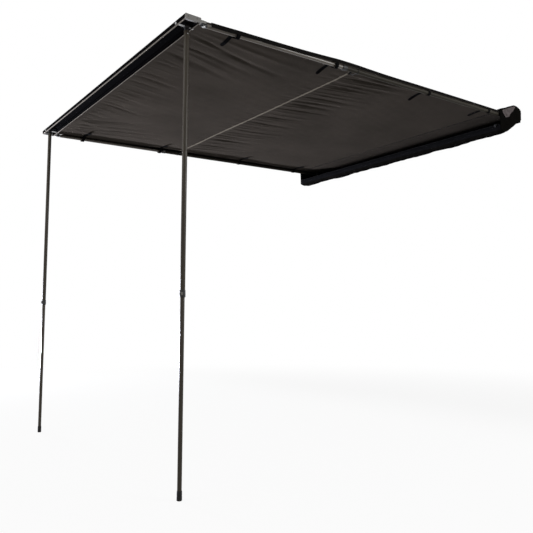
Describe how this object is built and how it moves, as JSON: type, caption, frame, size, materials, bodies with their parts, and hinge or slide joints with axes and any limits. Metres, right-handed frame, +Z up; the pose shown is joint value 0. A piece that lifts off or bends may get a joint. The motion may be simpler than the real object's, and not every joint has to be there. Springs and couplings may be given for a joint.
{
  "type": "vehicle side awning",
  "caption": "Pull-out shade awning for a roof rack: rail with a travel bag, ripstop canopy, channel front beam on folding telescopic legs, hooked telescopic rafters.",
  "frame": {"origin": "middle of the rail's back face, where the mounting brackets bolt on", "axes": "+X along the rail, +Y out of the rail's back towards the vehicle, +Z up; the canopy reaches towards -Y"},
  "size_m": [2.0046, 2.6038, 2.149],
  "materials": {
    "black_aluminium": "anodised black, satin",
    "grey_aluminium": "anodised dark grey, satin",
    "tube_aluminium": "anodised charcoal, satin",
    "bright_steel": "zinc-plated, bright",
    "black_steel": "powder-coated black, satin",
    "black_nylon": "moulded black nylon, fine matt",
    "grey_nylon": "moulded grey nylon, matt",
    "black_rubber": "moulded black rubber, matt",
    "canopy_cloth": "coated ripstop cloth, matt",
    "strap_web": "woven black webbing, matt",
    "bag_vinyl": "black coated polyester, dull sheen"
  },
  "bodies": {
    "rail_and_bag": {"rail": "black_aluminium", "rail_cap_right": "black_nylon", "rail_cap_left": "black_nylon", "mount_bracket_right": "black_steel", "mount_bracket_left": "black_steel", "bracket_bolt_right_upper": "bright_steel", "bracket_bolt_right_lower": "bright_steel", "bracket_bolt_left_upper": "bright_steel", "bracket_bolt_left_lower": "bright_steel", "rafter_bracket_right": "black_steel", "rafter_bracket_left": "black_steel", "rafter_pin_right": "bright_steel", "rafter_pin_left": "bright_steel", "bag_top_flap": "bag_vinyl", "bag_lower_flap": "bag_vinyl", "bag_end_right": "bag_vinyl", "bag_end_left": "bag_vinyl", "canopy": "canopy_cloth", "edge_strap_right_1": "strap_web", "edge_strap_right_2": "strap_web", "edge_strap_right_3": "strap_web", "edge_strap_right_4": "strap_web", "edge_strap_left_1": "strap_web", "edge_strap_left_2": "strap_web", "edge_strap_left_3": "strap_web", "edge_strap_left_4": "strap_web"},
    "beam": {"front_beam": "black_aluminium", "beam_cap_right": "grey_nylon", "beam_cap_left": "grey_nylon", "hook_stud_right": "bright_steel", "hook_stud_left": "bright_steel", "leg_pivot_bolt_right": "bright_steel", "leg_pivot_bolt_left": "bright_steel", "leg_spacer_right": "bright_steel", "leg_spacer_left": "bright_steel"},
    "leg_right": {"leg_knuckle_right": "black_nylon", "leg_upper_tube_right": "tube_aluminium", "leg_collar_right": "black_nylon"},
    "leg_end_right": {"leg_lower_tube_right": "tube_aluminium", "leg_foot_right": "black_rubber"},
    "leg_button_right": {"leg_button_right": "grey_nylon"},
    "rafter_right": {"rafter_knuckle_right": "black_nylon", "rafter_outer_tube_right": "grey_aluminium", "rafter_collar_right": "black_nylon"},
    "rafter_end_right": {"rafter_inner_tube_right": "grey_aluminium", "rafter_hook_right": "black_nylon"},
    "rafter_button_right": {"rafter_button_right": "grey_nylon"},
    "leg_left": {"leg_knuckle_left": "black_nylon", "leg_upper_tube_left": "tube_aluminium", "leg_collar_left": "black_nylon"},
    "leg_end_left": {"leg_lower_tube_left": "tube_aluminium", "leg_foot_left": "black_rubber"},
    "leg_button_left": {"leg_button_left": "grey_nylon"},
    "rafter_left": {"rafter_knuckle_left": "black_nylon", "rafter_outer_tube_left": "grey_aluminium", "rafter_collar_left": "black_nylon"},
    "rafter_end_left": {"rafter_inner_tube_left": "grey_aluminium", "rafter_hook_left": "black_nylon"},
    "rafter_button_left": {"rafter_button_left": "grey_nylon"},
    "zip_slider": {"zip_slider": "bright_steel"}
  },
  "joints": [
    {"name": "beam_slide", "type": "slide", "parent": "rail_and_bag", "child": "beam", "axis": [0, 0.9995, 0.0314], "range_m": [0, 0.73], "deforming": ["canopy", "edge_strap_right_1", "edge_strap_right_2", "edge_strap_right_3", "edge_strap_right_4", "edge_strap_left_1", "edge_strap_left_2", "edge_strap_left_3", "edge_strap_left_4"]},
    {"name": "leg_swing_right", "type": "hinge", "parent": "beam", "child": "leg_right", "pos_m": [0.92, -2.47975, -0.0927], "axis": [0, 1, 0], "range_deg": [0, 89]},
    {"name": "leg_extend_right", "type": "slide", "parent": "leg_right", "child": "leg_end_right", "axis": [0, 0, 1], "range_m": [0, 0.78]},
    {"name": "leg_button_press_right", "type": "slide", "parent": "leg_right", "child": "leg_button_right", "axis": [-0.8192, 0.5736, 0], "range_m": [0, 0.0018], "stiffness_N_per_m": 600},
    {"name": "rafter_swing_right", "type": "hinge", "parent": "rail_and_bag", "child": "rafter_right", "pos_m": [0.982, -0.04, -0.022], "axis": [0, 0, 1], "range_deg": [-82, 0]},
    {"name": "rafter_extend_right", "type": "slide", "parent": "rafter_right", "child": "rafter_end_right", "axis": [0, 0.9995, 0.0314], "range_m": [0, 0.73]},
    {"name": "rafter_button_press_right", "type": "slide", "parent": "rafter_right", "child": "rafter_button_right", "axis": [1, 0, 0], "range_m": [0, 0.0018], "stiffness_N_per_m": 600},
    {"name": "leg_swing_left", "type": "hinge", "parent": "beam", "child": "leg_left", "pos_m": [-0.92, -2.50425, -0.0927], "axis": [0, 1, 0], "range_deg": [-89, 0]},
    {"name": "leg_extend_left", "type": "slide", "parent": "leg_left", "child": "leg_end_left", "axis": [0, 0, 1], "range_m": [0, 0.78]},
    {"name": "leg_button_press_left", "type": "slide", "parent": "leg_left", "child": "leg_button_left", "axis": [0.8192, 0.5736, 0], "range_m": [0, 0.0018], "stiffness_N_per_m": 600},
    {"name": "rafter_swing_left", "type": "hinge", "parent": "rail_and_bag", "child": "rafter_left", "pos_m": [-0.982, -0.067, -0.02285], "axis": [0, 0, 1], "range_deg": [0, 82]},
    {"name": "rafter_extend_left", "type": "slide", "parent": "rafter_left", "child": "rafter_end_left", "axis": [0, 0.9995, 0.0314], "range_m": [0, 0.73]},
    {"name": "rafter_button_press_left", "type": "slide", "parent": "rafter_left", "child": "rafter_button_left", "axis": [-1, 0, 0], "range_m": [0, 0.0018], "stiffness_N_per_m": 600},
    {"name": "zip_slide", "type": "slide", "parent": "rail_and_bag", "child": "zip_slider", "axis": [-1, 0, 0], "range_m": [0, 1.9]}
  ],
  "couplings": [
    {"joint": "rafter_extend_right", "follows": "beam_slide", "ratio": 1},
    {"joint": "rafter_extend_left", "follows": "beam_slide", "ratio": 1}
  ]
}
